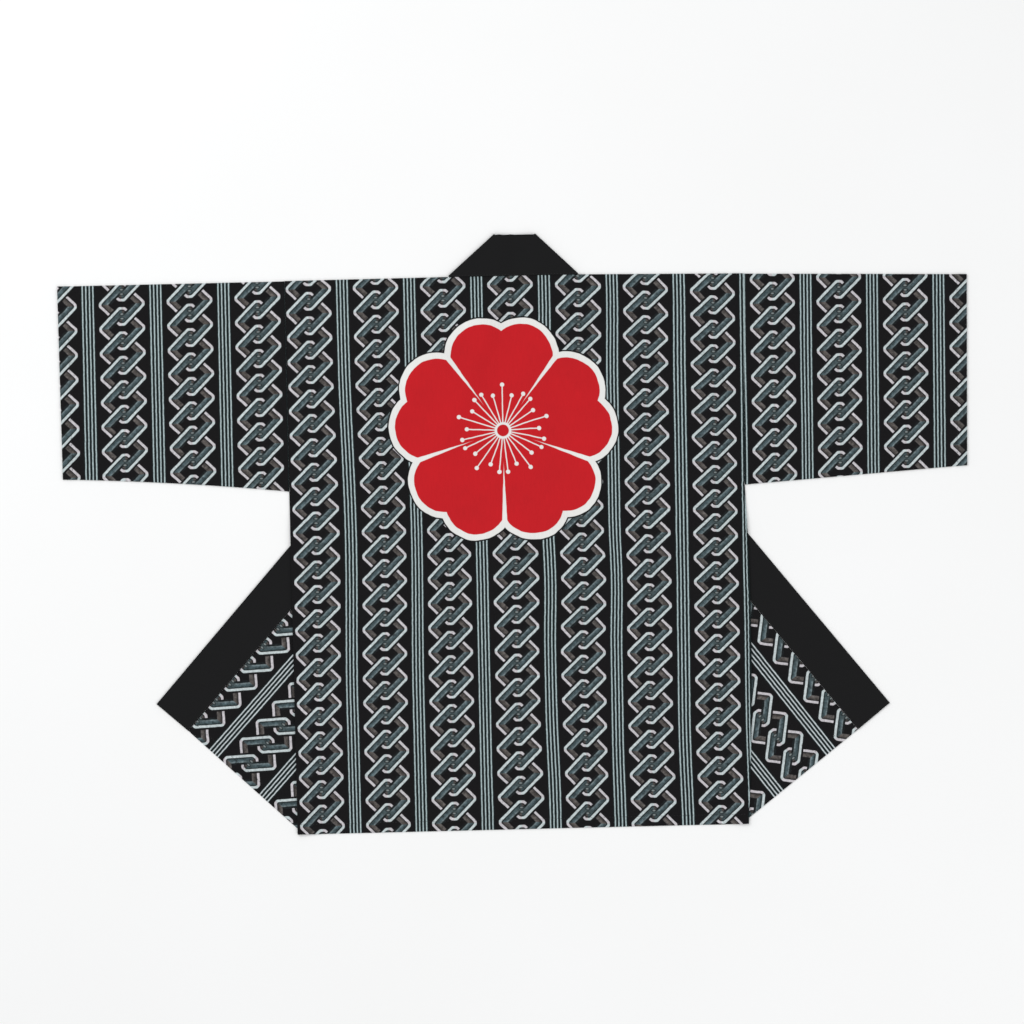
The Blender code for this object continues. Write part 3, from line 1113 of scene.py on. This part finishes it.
def set_camera():
    lens = bpy.data.cameras.new("camera")
    camera = put_in_scene("camera", lens)
    lens.sensor_width = 36.0
    lens.lens = lens.sensor_width * CAMERA_HEIGHT / VIEW_WIDTH
    lens.clip_end = 50.0
    camera.location = (0.0, VIEW_MIDDLE_Y, CAMERA_HEIGHT)
    bpy.context.scene.camera = camera


def set_light(name, place, size, power):
    lamp = bpy.data.lights.new(name, 'AREA')
    lamp.size = size
    lamp.energy = power
    light = put_in_scene(name, lamp)
    light.location = place
    light.rotation_euler = (-Vector(place)).to_track_quat('-Z', 'Y').to_euler()


def set_studio():
    set_light("soft box", (-2.0, 1.8, 2.9), 2.6, 60.0)
    set_light("fill", (2.0, -1.6, 2.6), 2.8, 30.0)
    world = bpy.data.worlds.new("studio")
    world.use_nodes = True
    background = world.node_tree.nodes["Background"]
    background.inputs["Color"].default_value = colour("f6f7f8")
    background.inputs["Strength"].default_value = 0.68
    bpy.context.scene.world = world
    bpy.context.scene.view_settings.view_transform = 'Standard'
    bpy.ops.object.select_all(action='DESELECT')
    bpy.ops.mesh.primitive_plane_add(size=12.0, location=(0.0, 0.0, -0.0002))
    floor = bpy.context.object
    floor.name = "floor"
    bpy.ops.object.transform_apply(location=True)
    floor.data.materials.append(floor_paint())


# The whole coat

def join_coat(piece, slot, *nodes):
    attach(piece, "root")
    if nodes:
        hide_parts(*nodes)


def sew_coat(thread, hem_up):
    """The rows of stitches in the hems, the cuffs and beside the collar's seam."""
    stitch = model_stitch()
    on_hem = CLOTH / 2.0 + STITCH_RISE
    on_band = BAND_WALL / 2.0 + STITCH_RISE
    seams = {}
    hem_run = (right.hem - left.hem).normalized()
    start, end = shifted((left.hem, right.hem), hem_up, HEM_ROW)
    inset = hem_run * ROW_INSET
    rows = [(start + inset, end - inset, lambda p: back_height(p) + on_hem)]
    seams["back"] = sew("hem_stitching", rows, stitch, thread)
    band_rows = [(*shifted((left.neck, right.neck), hem_up, COLLAR_ROW),
                  lambda p: band_height(p) + on_band)]
    for side, word in ((left, "left"), (right, "right")):
        run = (side.flap_end - side.crease_end).normalized()
        start, end = shifted((side.crease_end, side.flap_end), side.hem_in, HEM_ROW)
        rows = [(start + run * CREASE_INSET, end - run * ROW_INSET,
                 lambda p: flap_height(p) + on_hem)]
        seams["front_" + word] = sew("flap_hem_stitching_" + word, rows, stitch, thread)
        start, end = shifted((side.crease_top, side.flap_end), side.flap_out, COLLAR_ROW)
        band_rows.append((start + side.flap * FOLD_INSET, end - side.flap * ROW_INSET,
                          lambda p: flap_collar_height(p) + on_band))
        up = (side.cuff_top - side.cuff_bottom).normalized()
        inward = Vector((math.copysign(HEM_ROW, -side.cuff_top.x), 0.0))
        start = side.cuff_bottom + up * ROW_INSET + inward
        end = side.cuff_top - up * ROW_INSET + inward
        upper = lambda p: 1.5 * CLOTH + LAYER_GAP + soft_folds(p) + on_hem
        lower = lambda p: soft_folds(p) + 2.0 * STITCH_RISE
        rows = [(start, end, upper), (start, end, lower)]
        seams["sleeve_" + word] = sew("cuff_stitching_" + word, rows, stitch, thread)
    seams["collar"] = sew("collar_stitching", band_rows, stitch, thread)
    for seam in seams.values():
        join_coat(seam, "plain_cotton")
    return seams


def declare_sheets():
    """Works out the collar band's length and each sleeve's armhole and cuff length, without
    turnings; nothing uses them.
    """

    band_length = (right.neck - left.neck).length
    for side, word in ((left, "left"), (right, "right")):
        all_round = (side.shoulder - side.underarm).length
        all_round += (side.cuff_top - side.cuff_bottom).length
        band_length += (side.crease_top - side.neck).length + side.flap_seam


def main():
    set_camera()
    set_studio()
    printed = printed_cotton("printed cotton")
    printed_back = printed_cotton("printed cotton of the back", with_blossom=True)
    printed_fronts = printed_cotton("printed cotton of the fronts", FLAP_STRIPE)
    plain = plain_cotton()
    thread = sewing_thread()

    back = [left.shoulder, left.neck, right.neck, right.shoulder]
    back += right.side_seam + left.side_seam[::-1]
    neck_band = [left.neck, right.neck, right.collar_top, left.collar_top]
    hem_up = across((right.hem - left.hem).normalized())
    net = coat_net(back, neck_band, hem_up)

    pieces = {
        "back": make_back(net, back, printed_back),
        "front_left": make_front(net, left, LEFT_FLAP_LAY, "front_cloth_left", printed_fronts),
        "front_right": make_front(net, right, RIGHT_FLAP_LAY, "front_cloth_right", printed_fronts),
        "sleeve_left": make_sleeve(left, LEFT_SLEEVE_LAY, "sleeve_cloth_left", printed),
        "sleeve_right": make_sleeve(right, RIGHT_SLEEVE_LAY, "sleeve_cloth_right", printed),
        "collar": make_collar(net, neck_band, plain),
    }
    for node, piece in pieces.items():
        join_coat(piece, "plain_cotton" if node == "collar" else "printed_cotton", node)

    seams = sew_coat(thread, hem_up)
    declare_sheets()


main()
